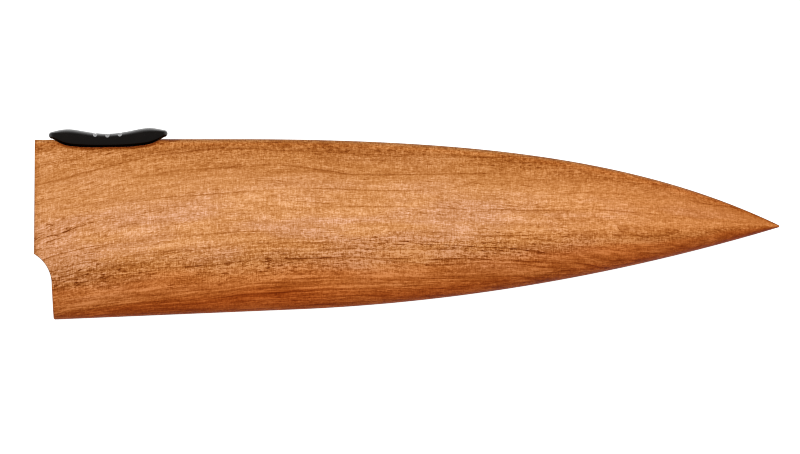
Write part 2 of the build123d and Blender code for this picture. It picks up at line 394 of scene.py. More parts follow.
@dataclass(frozen=True, eq=False)
class Value:
    """A node's output. Sums and products of such values are nodes too."""

    shader: "Shader"
    socket: bpy.types.NodeSocket

    def apply(self, operation: str, *others: "float | Value") -> "Value":
        """The result of a Math node on this value and up to two more."""
        return self.shader.add("Math", dict(enumerate((self, *others))), operation=operation)

    def __add__(self, other: "float | Value") -> "Value":
        """The sum."""
        return self.apply("ADD", other)

    def __radd__(self, other: float) -> "Value":
        """The sum, which lets sum() add up values."""
        return self.apply("ADD", other)

    def __sub__(self, other: "float | Value") -> "Value":
        """The difference."""
        return self.apply("SUBTRACT", other)

    def __mul__(self, other: "float | Value") -> "Value":
        """The product."""
        return self.apply("MULTIPLY", other)

    def __truediv__(self, other: "float | Value") -> "Value":
        """The quotient."""
        return self.apply("DIVIDE", other)

    def spread(self, source: Span, target: Span = (0.0, 1.0), smooth: bool = False) -> "Value":
        """Maps a range of values to another one, and clamps them to it.

        Args:
            source: The range that the value lies in.
            target: The range that it is mapped to.
            smooth: Whether both ends are eased.

        Returns:
            The mapped value.
        """
        names = "From Min", "From Max", "To Min", "To Max"
        inputs = {"Value": self, **dict(zip(names, (*source, *target)))}
        kind = "SMOOTHSTEP" if smooth else "LINEAR"
        return self.shader.add("MapRange", inputs, "Result", interpolation_type=kind)

    def curve(self, stops: Stops) -> "Value":
        """Maps a value from 0 to 1 through stops.

        Args:
            stops: Places and their values, all from 0 to 1.

        Returns:
            The mapped value.
        """
        ramp = self.shader.node("ValToRGB", {"Fac": self})
        elements = ramp.color_ramp.elements
        while len(elements) < len(stops):
            elements.new(0.5)
        for element, (place, level) in zip(elements, stops):
            element.position, element.color = place, (level, level, level, 1)
        return self.shader.add("RGBToBW", {"Color": Value(self.shader, ramp.outputs["Color"])})

    def noise(
        self, stretch: Triple, detail: float = 2.0, roughness: float = 0.5, shift: Triple = ORIGIN
    ) -> "Value":
        """Smooth random values about 0.5, at a place in millimetres.

        Args:
            stretch: Waves per millimetre along each axis.
            detail: Octaves of finer waves.
            roughness: How strong the finer waves are.
            shift: Moves the pattern, so that two patterns differ.

        Returns:
            The random value.
        """
        inputs = {"Vector": self, "Scale": stretch, "Location": shift}
        place = self.shader.add("Mapping", inputs)
        waves = {"Vector": place, "Scale": 1.0, "Detail": detail, "Roughness": roughness}
        return self.shader.add("TexNoise", waves, "Fac")

    def parts(self) -> "tuple[Value, Value, Value]":
        """The three numbers of a vector."""
        outputs = self.shader.node("SeparateXYZ", {"Vector": self}).outputs
        return tuple(Value(self.shader, outputs[axis]) for axis in "XYZ")


class Shader:
    """Adds, sets and links the nodes of one material."""

    def __init__(self, name: str) -> None:
        """Starts an empty node tree.

        Args:
            name: Name of the material.
        """
        self.material = bpy.data.materials.new(name)
        self.material.use_nodes = True
        self.tree = self.material.node_tree
        self.tree.nodes.clear()

    def node(
        self, kind: str, inputs: dict[str | int, object], **settings: object
    ) -> bpy.types.Node:
        """Adds a node.

        Args:
            kind: Blender's name for the node, without the word ShaderNode.
            inputs: A number, a colour, or a value to link, for each input.
            **settings: Properties of the node itself.

        Returns:
            The new node.
        """
        node = self.tree.nodes.new(f"ShaderNode{kind}")
        for name, setting in settings.items():
            setattr(node, name, setting)
        for name, value in inputs.items():
            if isinstance(value, Value):
                self.tree.links.new(value.socket, node.inputs[name])
            else:
                node.inputs[name].default_value = value
        return node

    def add(
        self, kind: str, inputs: dict[str | int, object], output: int | str = 0, **settings: object
    ) -> Value:
        """Adds a node as node() does, and gives one of its outputs."""
        return Value(self, self.node(kind, inputs, **settings).outputs[output])

    def place(self) -> Value:
        """Object coordinates in millimetres."""
        start = self.add("TexCoord", {}, "Object")
        return self.add("Mapping", {"Vector": start, "Scale": (1 / MM,) * 3})

    def mix(
        self, share: float | Value, first: Colour | Value, second: Colour | Value,
        blend: str = "MIX",
    ) -> Value:
        """Two colours, mixed or multiplied by a share of the second."""
        inputs = {0: share, 6: first, 7: second}
        return self.add("Mix", inputs, 2, data_type="RGBA", blend_type=blend)

    def stain(self, colour: Colour | Value, pigment: Colour, density: Value) -> Value:
        """A colour that a pigment darkens, to the power of its density."""
        film = self.add("Gamma", {"Color": pigment, "Gamma": density})
        return self.mix(1.0, colour, film, "MULTIPLY")

    def grey(self, value: Value) -> Value:
        """A number as a colour."""
        return self.add("CombineColor", {0: value, 1: value, 2: value})

    def finish(self, height: Value, depth: float, **surface: object) -> bpy.types.Material:
        """Closes the material with one glossy surface.

        Args:
            height: Relief.
            depth: How far a relief of 1 stands up, in millimetres.
            **surface: Inputs of the surface, with _ for the spaces in their names.

        Returns:
            The material.
        """
        inputs = {name.replace("_", " "): value for name, value in surface.items()}
        inputs["Normal"] = self.add("Bump", {"Height": height, "Distance": depth * MM})
        self.node("OutputMaterial", {"Surface": self.add("BsdfPrincipled", inputs)})
        return self.material


@dataclass(frozen=True)
class Spot:
    """Where a point of the wood lies, in millimetres."""

    x: Value  # along the guard, from its middle
    y: Value
    grain: Value  # coordinates that follow the grain
    height: Value  # above the spine line, across the grain
    fibres: Value  # fine relief along the grain, about 0.5

    def noise(
        self, along: float, across: float, detail: float = 3.0, roughness: float = 0.6,
        shift: Triple = ORIGIN,
    ) -> Value:
        """Random values, from their waves per millimetre along and across the grain."""
        return self.grain.noise((along, across, across), detail, roughness, shift)

    def waves(self, layers: Sequence[Triple]) -> Value:
        """Sum of noises about 0, from their waves along and across, and their strength."""
        return sum((self.noise(*layer[:2], 2.5) - 0.5) * layer[2] for layer in layers)


@dataclass(frozen=True)
class WoodFinish:
    """Fruitwood: a pale colour that a pigment darkens, so that darker wood is redder too."""

    name: str
    shift: Triple = ORIGIN  # moves the pattern, so that two boards differ
    bows: Span = (0.0, 0.0)  # bend of the grain towards the mouth and the tip
    pale: Colour = (0.735, 0.312, 0.105, 1.0)
    pigment: Colour = (0.64, 0.48, 0.28, 1.0)
    sheen: Colour = (1.0, 0.70, 0.40, 1.0)  # wood fibres tint what they reflect
    shine: Span = (0.44, 0.58)  # least and greatest roughness
    relief: float = 0.008  # depth of the fibres
    ior: float = 1.22
    ring_width: float = 5.6

    # Waves per millimetre along and across the grain, and strength
    CLOUDS = ((0.020, 0.075, 0.9), (0.10, 0.50, 1.0), (0.040, 0.85, 1.2))
    TICKS = ((0.90, 3.2, 3.0), (2.60, 0.70, 2.4))
    # Waves per millimetre of the grain's swaying, and its reach
    SWAYS = (((0.012, 0.05, 0.05), 1.6), ((0.05, 0.22, 0.22), 0.45))

    def make(self) -> bpy.types.Material:
        """Builds the material.

        Returns:
            The wood.
        """
        shader = Shader(self.name)
        spot = self._spot(shader)
        colour, density, marks = self._base(shader, spot)
        density += self._flecks(spot) * marks + self._ring_lines(spot) * (marks * 1.1 + 0.5)
        return shader.finish(
            spot.fibres, self.relief, IOR=self.ior, Specular_Tint=self.sheen,
            Base_Color=shader.stain(colour, self.pigment, density),
            Roughness=spot.fibres.spread((0.3, 0.7), self.shine),
        )

    def _spot(self, shader: Shader) -> Spot:
        """Bends the coordinates so that they follow the grain.

        Args:
            shader: Takes the nodes.

        Returns:
            The place on the board and along its grain.
        """
        place = shader.place()
        x, y, z = place.parts()
        across = y
        for clamp, bow in zip(("MINIMUM", "MAXIMUM"), self.bows):
            across += x.apply(clamp, 0.0).apply("ABSOLUTE").apply("POWER", 3.0) * bow
        for stretch, reach in self.SWAYS:
            sway = place.noise(stretch, 1.0, shift=self.shift)
            across += sway.spread((0.25, 0.75), (-reach, reach))
        bent = shader.add("CombineXYZ", {"X": x, "Y": across, "Z": z})
        grain = shader.add("VectorMath", {0: bent, 1: self.shift}, operation="ADD")
        fibres = grain.noise((0.30, 2.3, 2.3), 3.0, 0.65)
        return Spot(x, y, grain, across - DRAWING.spine / MM, fibres)

    def _base(self, shader: Shader, spot: Spot) -> tuple[Colour | Value, Value, float | Value]:
        """The wood's colour, the pigment's density in it, and the strength of its marks."""
        return self.pale, spot.waves(self.CLOUDS) + self._fine(spot), 0.3

    def _fine(self, spot: Spot) -> Value:
        """Density of the fibres and the ticks between them, about 0."""
        return spot.waves(self.TICKS) + (spot.fibres - 0.5) * 2.2

    def _ring_lines(self, spot: Spot) -> Value:
        """Density of the lines between the growth rings, which are broken in places.

        Args:
            spot: Where the wood is dressed.

        Returns:
            The density.
        """
        wander = spot.noise(0.010, 0.12, 2.0, 0.5, (5.0, 3.0, 1.0))
        broken = spot.noise(0.025, 0.4, 4.0, 0.7, (9.0, 2.0, 4.0))
        rings = spot.grain.parts()[1] / self.ring_width + wander * 2.4
        line = rings.apply("FRACT").spread((0.88, 1.0), smooth=True)
        return line * broken.spread((0.40, 0.58), (0.0, 1.15))

    def _flecks(self, spot: Spot) -> Value:
        """Density of the short dark marks, which are thicker in some places than in others.

        Args:
            spot: Where the wood is dressed.

        Returns:
            The density.
        """
        dashes = spot.noise(0.40, 1.9, 3.0, 0.55, (1.0, 7.0, 3.0))
        patches = spot.noise(0.03, 0.25, 2.0, 0.5, (4.0, 4.0, 8.0))
        return dashes.spread((0.55, 0.68), (0.0, 2.2)) * patches.spread((0.40, 0.62), (0.2, 1.2))


@dataclass(frozen=True, kw_only=True)
class GuardWood(WoodFinish):
    """The guard's wood: dark in the heart band and under the spine, rosy with a painted sheen in
    places, darker towards the tip, with painted shade on the lower edge, the spine's rim and the
    mouth's edge, and a painted shadow under the rocker.
    """

    body: "WoodenBody"
    bows: Span = (7.0e-6, 4.6e-6)
    # Paler, bluer rose: partly the wood's rosy tone, partly a painted sheen in the middle of the
    # face
    rosy_sheen: Colour = (0.715, 0.314, 0.135, 1.0)  # in place of the pale colour
    # Tint of the painted shade on the lower edge's rounding, and of the darkening towards the tip
    oil: Colour = (0.84, 0.54, 0.30, 1.0)  # soaked into the lower edge
    # Painted shade: a cool grey that darkens the rounded rim of the spine
    spine_rim_shade: Colour = (0.66, 0.72, 0.80, 1.0)  # on the spine
    heart_height: float = -36.3  # of the lowest dark row, across the grain
    row_pitch: float = 2.6  # of the heart's dark rows

    # Stops over the local height, from 0 at the lower edge to 1 at the spine
    # Painted shade of the lower edge's rounding, strongest at the edge
    OILED = ((0.0, 1.0), (0.05, 0.85), (0.12, 0.52), (0.20, 0.36), (0.25, 0.10), (0.30, 0.0))
    DENSITY = (
        (0.00, 0.10), (0.06, 0.02), (0.12, 0.04), (0.20, 0.16), (0.26, 0.46), (0.32, 0.46),
        (0.38, 0.18), (0.45, 0.04), (0.62, 0.08), (0.74, 0.19), (0.86, 0.45), (0.96, 0.86),
    )
    MARKS = (
        (0.00, 0.50), (0.20, 0.40), (0.27, 1.0), (0.35, 0.80), (0.44, 0.30),
        (0.85, 0.30), (0.92, 0.60), (0.97, 0.50), (1.0, 0.30),
    )
    # Rosy tone and painted sheen, over the local height
    ROSY_SHEEN = ((0.12, 0.0), (0.27, 1.0), (0.50, 0.80), (0.80, 0.20))
    MOUTH_CLOUD = ((0.27, 0.0), (0.36, 1.0), (0.62, 1.0), (0.76, 0.0))
    STREAKED = ((0.0, 1.0), (0.15, 1.0), (0.25, 0.0))
    CONTRAST = ((0.0, 1.0), (0.30, 1.0), (0.42, 0.60), (0.62, 0.56), (0.80, 0.50), (0.92, 0.75))
    SPINE_FLECKS = ((0.925, 0.0), (0.945, 1.0), (0.972, 1.0), (0.985, 0.0))
    # Stops over the heart band's height and over the scoop's length, where the shadow under the
    # rocker is painted, from 0 to 1
    HEART = ((0.0, 0.0), (0.24, 1.0), (0.36, 1.0), (0.46, 0.6), (0.86, 0.5), (1.0, 0.0))
    # Where along the scoop the painted shadow under the rocker lies
    SCOOP_SHADOW_ZONE = ((0.12, 0.0), (0.20, 1.0), (0.93, 1.0), (1.0, 0.0))
    # Where along the guard something fades, from its middle
    MOUTH_EDGE_SHADE = (-111.8, -110.2)
    LEAN = (-112.0, -60.0)
    CLOUD = (-108.0, -84.0)
    UNDER_SPINE = (-110.0, -78.0)
    TIP_DARKENING = (25.0, 105.0)
    TIP_MARKS = (35.0, 85.0)
    TIP_CONTRAST = (45.0, 110.0)
    STREAKS = ((0.035, 1.4, 2.6),)  # waves along and across, and strength
    GAIN = 1.5  # of the texture's contrast
    PALEST, OFFSET = -0.72, -0.14  # least density of the texture, and density of the plain wood
    # Reach of the painted shadow under the rocker, as shares of the scoop's half length and of its
    # depth
    SCOOP_REACH, SCOOP_DEPTH = 1.3, 1.1  # of the scoop's half length and of its depth

    def _base(self, shader: Shader, spot: Spot) -> tuple[Value, Value, Value]:
        """The wood's colour, the pigment's density in it, and the strength of its marks.

        Args:
            shader: Takes the nodes.
            spot: Where the wood is dressed.

        Returns:
            The colour, the density and the strength.
        """
        level = self._height_share(spot)
        share = self._drifting(spot, level)
        # the cloud near the mouth carries a painted sheen, through the rosy share, and more marks
        cloud = spot.x.spread(self.CLOUD, (1.0, 0.0), smooth=True) * share.curve(self.MOUTH_CLOUD)

        rosy_sheen = (self._rosy_sheen_clouds(spot, share) + cloud).spread((0.0, 1.2), (0.0, 1.2))
        # painted shade, darker and redder towards the lower edge, plus a darkening towards the tip
        edge_shade_and_tip_darkening = share.curve(self.OILED) * 2.0 + spot.x.spread(self.TIP_DARKENING, (0.0, 0.54))
        # painted shade on the spine's rounded rim, from 97.2 % of the local height up
        spine_rim_shaded = shader.mix(level.spread((0.972, 0.995)), WHITE, self.spine_rim_shade)
        colour = shader.stain(shader.mix(rosy_sheen, self.pale, self.rosy_sheen), self.oil, edge_shade_and_tip_darkening)
        colour = shader.mix(1.0, colour, spine_rim_shaded, "MULTIPLY")

        density = self._texture(spot, share) + share.curve(self.DENSITY) + self.OFFSET
        # the painted shadow under the rocker is added here, along the scoop's rim
        density += self._ends(spot, share) + self._painted_scoop_shadow(spot)
        density += self._heart_rows(spot) + self._spine_flecks(spot, share)
        marks = cloud * 0.5 + share.curve(self.MARKS)
        return colour, density, marks * spot.x.spread(self.TIP_MARKS, (1.0, 0.35))

    def _height_share(self, spot: Spot) -> Value:
        """Share of the local height, from 0 at the lower edge to 1 at the spine.

        Args:
            spot: Where the wood is dressed.

        Returns:
            The share.
        """
        body = self.body
        x, y = spot.x - DRAWING.mouth / MM, spot.y - DRAWING.spine / MM
        drop = x.spread((body.spine_straight_length, body.length))
        square = drop * drop
        top = (square + square * square) * (-body.tip_drop / 2)
        rise = x.spread((body.edge_straight_length, body.length))
        low = x * body.edge_slope - body.height + rise * rise * body.edge_rise
        return (y - low) / (top - low)

    def _drifting(self, spot: Spot, level: Value) -> Value:
        """The share of the height along the grain, which drifts, but not at the spine.

        Args:
            spot: Where the wood is dressed.
            level: The share by the outline alone.

        Returns:
            The share.
        """
        drift = spot.noise(0.012, 0.09).spread((0.25, 0.75), (-0.07, 0.07))
        lean = spot.x.spread(self.LEAN, (0.10, 0.0), smooth=True)
        drift += lean * level.spread((0.04, 0.18))
        return level + drift * level.spread((0.55, 0.90), (1.0, 0.0))

    def _rosy_sheen_clouds(self, spot: Spot, share: Value) -> Value:
        """Where the wood turns rosy with a painted sheen: clouds in and below the middle."""
        clouds = spot.noise(0.03, 0.12, shift=(3.0, 1.0, 2.0))
        return clouds.spread((0.35, 0.65), (-0.6, 1.5)) * share.curve(self.ROSY_SHEEN)

    def _texture(self, spot: Spot, share: Value) -> Value:
        """Density of the clouds, patches, streaks, fibres and ticks, about 0.

        Args:
            spot: Where the wood is dressed.
            share: Share of the local height.

        Returns:
            The density.
        """
        streaked = share.curve(self.STREAKED)
        fine = self._fine(spot) * (streaked * -0.5 + 1.0)
        density = spot.waves(self.STREAKS) * streaked + spot.waves(self.CLOUDS) + fine
        contrast = share.curve(self.CONTRAST) * self.GAIN
        contrast *= spot.x.spread(self.TIP_CONTRAST, (1.0, 0.65))
        return (density * contrast).apply("MAXIMUM", self.PALEST)

    def _ends(self, spot: Spot, share: Value) -> Value:
        """Density of the painted shade along the mouth's rounded edge, and of the pale wood beside
        it, under the spine.

        Args:
            spot: Where the wood is dressed.
            share: Share of the local height.

        Returns:
            The density.
        """
        near = spot.x.spread(self.UNDER_SPINE, (-0.32, 0.0))
        paler = near * share.spread((0.80, 0.90))
        # painted shade along the mouth's rounded edge
        return paler + spot.x.spread(self.MOUTH_EDGE_SHADE, (0.5, 0.0))

    def _painted_scoop_shadow(self, spot: Spot) -> Value:
        """Density of a painted shadow under the rocker, along the rim of the scoop, darkest at the
        rim.

        Args:
            spot: Where the wood is dressed.

        Returns:
            The density.
        """
        body = self.body
        middle = DRAWING.mouth / MM + body.latch_position
        reach = self.SCOOP_REACH * body.scoop_half_length
        along = spot.x.spread((middle - reach, middle + reach))
        line = [
            ((u / self.SCOOP_REACH + 1) / 2, max(0.0, v) / self.SCOOP_DEPTH)
            for u, v in body.scoop_shares
        ]
        rim = along.curve(line) * (self.SCOOP_DEPTH * body.scoop_depth)
        above = spot.y - DRAWING.spine / MM + rim
        return along.curve(self.SCOOP_SHADOW_ZONE) * above.spread((-1.05, 0.0), (0.0, 2.6))

    def _heart_rows(self, spot: Spot) -> Value:
        """Density of the heart's rows of dark dashes, which keep their height in the grain.

        Args:
            spot: Where the wood is dressed.

        Returns:
            The density.
        """
        above = spot.height - self.heart_height
        zone = above.spread((-3.0, 7.0)).curve(self.HEART)
        row = (above / self.row_pitch).apply("FRACT").spread((0.72, 1.0), smooth=True)
        broken = spot.noise(0.13, 0.35, 4.0, 0.75, (2.0, 8.0, 5.0))
        return row * broken.spread((0.42, 0.56), (0.0, 1.65)) * zone

    def _spine_flecks(self, spot: Spot, share: Value) -> Value:
        """Density of a row of short dark flecks just under the spine."""
        specks = spot.noise(0.85, 0.75, shift=(6.0, 2.0, 3.0))
        return share.curve(self.SPINE_FLECKS) * specks.spread((0.48, 0.64), (0.0, 0.8))


@dataclass(frozen=True)
class MouldedFinish:
    """Moulded plastic or rubber: an even colour with a fine spark-eroded grain."""

    name: str
    colour: Colour
    roughness: float
    mottle: float = 0.25  # how much the colour varies
    relief: float = 0.006  # depth of the grain
    ior: float = 1.4

    def make(self) -> bpy.types.Material:
        """Builds the material.

        Returns:
            The moulded surface.
        """
        shader = Shader(self.name)
        place = shader.place()
        cloud = place.noise((0.35, 0.35, 0.35), 3.0, 0.6)
        shade = cloud.spread((0.25, 0.75), (1 - self.mottle, 1 + self.mottle))
        return shader.finish(
            place.noise((7.0, 7.0, 7.0)), self.relief, IOR=self.ior,
            Base_Color=shader.mix(1.0, self.colour, shader.grey(shade), "MULTIPLY"),
            Roughness=cloud.spread((0.3, 0.7), (self.roughness - 0.05, self.roughness + 0.07)),
        )


@dataclass(frozen=True)
class MetalFinish:
    """Drawn or turned metal, with fine marks across its length and a little tarnish."""

    name: str
    colour: Colour
    tarnish: Colour
    marks: Triple  # waves per millimetre
    relief: float = 0.003  # depth of the marks

    def make(self) -> bpy.types.Material:
        """Builds the material.

        Returns:
            The metal.
        """
        shader = Shader(self.name)
        place = shader.place()
        marks = place.noise(self.marks, 3.0, 0.6)
        tarnished = place.noise((0.6, 0.6, 0.6), 3.0, 0.65).spread((0.45, 0.75), (0.0, 0.7))
        return shader.finish(
            marks, self.relief, Metallic=1.0,
            Base_Color=shader.mix(tarnished, self.colour, self.tarnish),
            Roughness=marks.spread((0.3, 0.7), (0.22, 0.38)),
        )


@dataclass
class WoodenBody:
    """The two wooden shells, shaped outside and routed inside."""

    length: float = 224.0
    height: float = 54.25
    thickness: float = 7.5  # each shell
    planing: float = 0.1  # how much thicker the blank is that the tip's thinning starts from
    full_thickness_length: float = 128.0
    spine_straight_length: float = 62.0
    edge_straight_length: float = 79.0
    edge_angle: float = 2.4  # rise of the lower edge's straight part, in degrees
    tip_drop: float = 26.2
    tip_height: float = 0.5
    tip_thickness: float = 3.0
    tip_roundness: float = 0.25
    spine_radius: float = 2.4
    spine_radius_share: float = 0.12  # its limit near the tip, of the local height
    belly_share: float = 0.36  # height of the lower edge's rounding, of the local height
    thinning_power: float = 3.2  # how suddenly the shells thin towards the tip
    mouth_height: float = 34.5
    notch_radius: float = 10.5
    notch_depth: float = 5.3
    heel_setback: float = 5.75
    heel_corner: float = 0.5  # rounding between the mouth and the lower edge
    mouth_lean: float = 0.26  # how far the mouth's face leans back up to the spine
    mouth_easing: float = 0.45  # rounding of the mouth's edge
    mouth_corner: float = 0.6  # rounding between the mouth and the spine, seen from the front
    mouth_blend: float = 14.0  # length over which the mesh turns from the notch to square
    rim_share: float = 0.125  # rounding of the rim, of the spine's radius
    seam: float = 0.12  # bevel beside the glue line
    seam_inset: float = 0.6  # how much smaller the glued face is for it, of the seam
    latch_position: float = LATCH_POSITION
    scoop_half_length: float = 17.6
    scoop_depth: float = 2.45
    scoop_shares: Stops = (  # places along the scoop and depths
        (-1.0, 0.08), (-0.93, 0.10), (-0.85, 0.35), (-0.73, 0.72), (-0.56, 0.92), (-0.30, 1.01),
        (0.0, 0.98), (0.38, 0.925), (0.58, 0.78), (0.72, 0.60), (0.80, 0.38), (0.89, 0.08),
        (0.96, -0.06),
    )
    room_length: float = 37.2
    room_width: float = 10.6
    room_drop: float = 3.1
    room_corner: float = 3.6
    cradle_room_length: float = 34.1
    cradle_room_corner: float = 2.97
    cradle_room_floor: float = 0.05  # below the slot's top, so that the room opens into it
    spine_wall: float = 7.0
    edge_wall: float = 3.95
    slot_width: float = 4.4
    slot_length: float = 208.2
    slot_overrun: float = 5.0  # how far before the mouth its cutter starts
    slot_end: float = 0.9  # length and height of its last step
    slot_flare: float = 1.0
    slot_flare_length: float = 3.0
    pins: tuple[Triple, ...] = (
        (1.84, LATCH_POSITION, -PIVOT_DROP), (1.54, 6.95, -5.05), (1.54, 37.25, -5.05),
    )  # diameter, x and y of the steel pins' holes
    pin_hole_length: float = 12.64
    dowel_hole: float = 3.1
    dowel_hole_length: float = 8.1
    dowel_shares: tuple[float, ...] = (0.29, 0.51, 0.73)  # places, of the length

    ROWS = {"belly": 40, "flat": 10, "rounding": 10, "rim": 5}  # of the face, from its lower edge
    EASING_STEPS = (0.0, 0.06, 0.18, 0.35, 0.6, 1.0)  # columns on the mouth's easing, as shares
    TIP_TURNS = (20, 40, 60, 78, 90)  # columns on the tip's rounding, in degrees
    FINE_PITCH, FINE_END = 0.35, 45.0  # of the columns beside the mouth and the latch
    COARSE_COLUMNS = 114
    TIP_REACH = 0.98  # how far round the tip the last column lies, so that it keeps a height
    FIRST_RISE = (0.004, 0.1)  # least and greatest height of the first step of the flat rows
    ROUNDING_LEAST = 0.4  # length that the rounding's rows keep under the scoop, of its radius
    EASING_MOST = 0.5  # of what stands above the seam
    SETTLING_PASSES = 6  # a point's place and height depend on each other beside the mouth
    SLOT_BENDS = 30
    BOARD_SHIFTS = {Side.FRONT: ORIGIN, Side.BACK: (31.0, 6.0, -14.0)}  # of the grain
    DOWEL_SHIFT = (70.0, 20.0, 9.0)

    def along(self, x: Numbers, start: float) -> Numbers:
        """Share of the way from start to the tip."""
        return np.clip((x - start) / (self.length - start), 0.0, 1.0)

    @property
    def edge_slope(self) -> float:
        """Rise of the lower outline's straight part, per length."""
        return math.tan(math.radians(self.edge_angle))

    @property
    def edge_rise(self) -> float:
        """How far the lower outline has risen above its straight slope at the tip."""
        straight = -self.height + self.edge_slope * (self.length - self.heel_setback)
        return -self.tip_drop - self.tip_height / 2 - straight

    def spine_at(self, x: Numbers) -> Numbers:
        """Height of the upper outline, without the scoop."""
        share = self.along(x, self.spine_straight_length)
        return -(self.tip_drop - self.tip_height / 2) * (share**2 + share**4) / 2

    def edge_at(self, x: Numbers) -> Numbers:
        """Height of the lower outline."""
        straight = -self.height + self.edge_slope * (x - self.heel_setback)
        return straight + self.edge_rise * self.along(x, self.edge_straight_length) ** 2

    def low_at(self, x: Numbers) -> Numbers:
        """Height of the lower outline, with the rounded corner at the mouth.

        Args:
            x: Places along the guard.

        Returns:
            The heights.
        """
        radius = self.heel_corner
        short = np.clip(self.heel_setback + radius - x, 0.0, radius)
        return self.edge_at(x) + radius - np.sqrt(radius**2 - short**2)

    def half_thickness_at(self, x: Numbers) -> Numbers:
        """Distance from the glue plane to the flat face.

        Args:
            x: Places along the guard.

        Returns:
            The distances.
        """
        rough = self.thickness + self.planing
        lost = rough - self.tip_thickness / 2
        thinned = rough - lost * self.along(x, self.full_thickness_length) ** self.thinning_power
        return np.minimum(self.thickness, thinned)

    def top_at(self, x: Numbers) -> Numbers:
        """Height of the upper outline, with the scoop and the rounded corner at the mouth.

        Args:
            x: Places along the guard.

        Returns:
            The heights.
        """
        shares = [
            (self.latch_position + u * self.scoop_half_length, v * self.scoop_depth)
            for u, v in self.scoop_shares
        ]
        hollow = np.maximum(0.0, natural_spline(shares)(np.clip(x, shares[0][0], shares[-1][0])))
        short = np.clip(self.mouth_corner - x, 0.0, self.mouth_corner)
        corner = self.mouth_corner - np.sqrt(self.mouth_corner**2 - short**2)
        return self.spine_at(x) - hollow - corner

    def mouth_at(self, y: Numbers) -> Numbers:
        """How far the mouth's outline is set back: its face, the notch and the heel.

        Args:
            y: Heights.

        Returns:
            The distances from the mouth's foremost point.
        """
        bite = self.notch_radius - self.notch_depth
        centre = -self.mouth_height - math.sqrt(self.notch_radius**2 - bite**2)
        lean = (self.heel_setback - self.notch_depth) / (self.height + centre)
        rise = np.clip(y - centre, 0.0, self.notch_radius)
        arc = np.maximum(0.0, np.sqrt(self.notch_radius**2 - rise**2) - bite)
        arc = arc + self.mouth_lean * np.clip(1 + y / self.mouth_height, 0.0, 1.0)
        return np.where(y > centre, arc, self.notch_depth + lean * (centre - y))

    def columns(self) -> Numbers:
        """Places along the guard at which the face is divided, from the mouth to the tip.

        Returns:
            The places.
        """
        easing = self.mouth_easing * np.array(self.EASING_STEPS)
        near = np.arange(self.mouth_easing + self.FINE_PITCH, self.FINE_END, self.FINE_PITCH)
        far = np.linspace(self.FINE_END, self.length - self.tip_roundness, self.COARSE_COLUMNS)
        end = self.length - self.tip_roundness * (1 - np.sin(np.radians(self.TIP_TURNS)))
        return np.concatenate([easing, near, far, end])

    def ends_at(self, x: Numbers) -> tuple[Numbers, Numbers, Numbers]:
        """The section's upper and lower end and its half thickness, with the tip's rounding.

        Args:
            x: Places along the guard.

        Returns:
            Heights of both ends, without the scoop, and distances of the flat face.
        """
        top, low, half = self.spine_at(x), self.low_at(x), self.half_thickness_at(x)
        past = x - self.length + self.tip_roundness
        tip = np.clip(past / self.tip_roundness, 0.0, self.TIP_REACH)
        shrink = np.sqrt(1 - tip**2)
        middle = (top + low) / 2
        return middle + (top - middle) * shrink, middle + (low - middle) * shrink, half * shrink

    def section(self, x: Numbers, row: int) -> tuple[Numbers, Numbers]:
        """Height and distance from the glue plane of one row of the face's mesh.

        Args:
            x: Places along the guard.
            row: Number of the row, from the lower edge.

        Returns:
            The heights and the distances.
        """
        rows = self.ROWS
        top, low, half = self.ends_at(x)
        radius = np.minimum(self.spine_radius, self.spine_radius_share * (top - low))
        belly = self.belly_share * (top - low)
        outline = np.minimum(top, self.top_at(x))
        rim = self.rim_share * radius

        # Arc length past the start of the spine's rounding, at the outline and before the rim.
        over = outline - (top - radius)
        at_outline = np.where(over > 0, radius * np.arcsin(np.clip(over / radius, 0, 1)), over)
        before_rim = at_outline - rim
        start = np.minimum(0.0, before_rim - self.ROUNDING_LEAST * radius)

        def on_rounding(run: Numbers) -> tuple[Numbers, Numbers]:
            """Follows the spine's rounding, or the flat face before it.

            Args:
                run: Arc lengths past the start of the rounding.

            Returns:
                The heights and the distances.
            """
            turn = np.clip(run, 0, None) / radius
            height = top - radius + np.where(run > 0, radius * np.sin(turn), run)
            return height, half - radius * (1 - np.cos(turn))

        if row <= rows["belly"]:
            lowest = np.arcsin(np.clip(self.seam / half, 0, 1))
            angle = lowest + (np.pi / 2 - lowest) * row / rows["belly"]
            return low + belly * (1 - np.cos(angle)), half * np.sin(angle)
        row -= rows["belly"]
        first = top - radius + start
        if row <= rows["flat"]:
            bottom = low + belly
            notch = np.clip((-self.mouth_height - bottom) / (first - bottom), *self.FIRST_RISE)
            share = notch + (1 - notch) * (row - 1) / (rows["flat"] - 1)
            return bottom + (first - bottom) * share, half + 0 * x
        row -= rows["flat"]
        if row <= rows["rounding"]:
            return on_rounding(start + (before_rim - start) * row / rows["rounding"])
        share = (row - rows["rounding"]) / rows["rim"]
        before, corner = on_rounding(before_rim), on_rounding(at_outline)
        after = corner[0], corner[1] - rim
        weights = (1 - share) ** 2, 2 * share * (1 - share), share**2
        height, distance = (
            weights[0] * before[axis] + weights[1] * corner[axis] + weights[2] * after[axis]
            for axis in (0, 1)
        )
        return height, distance

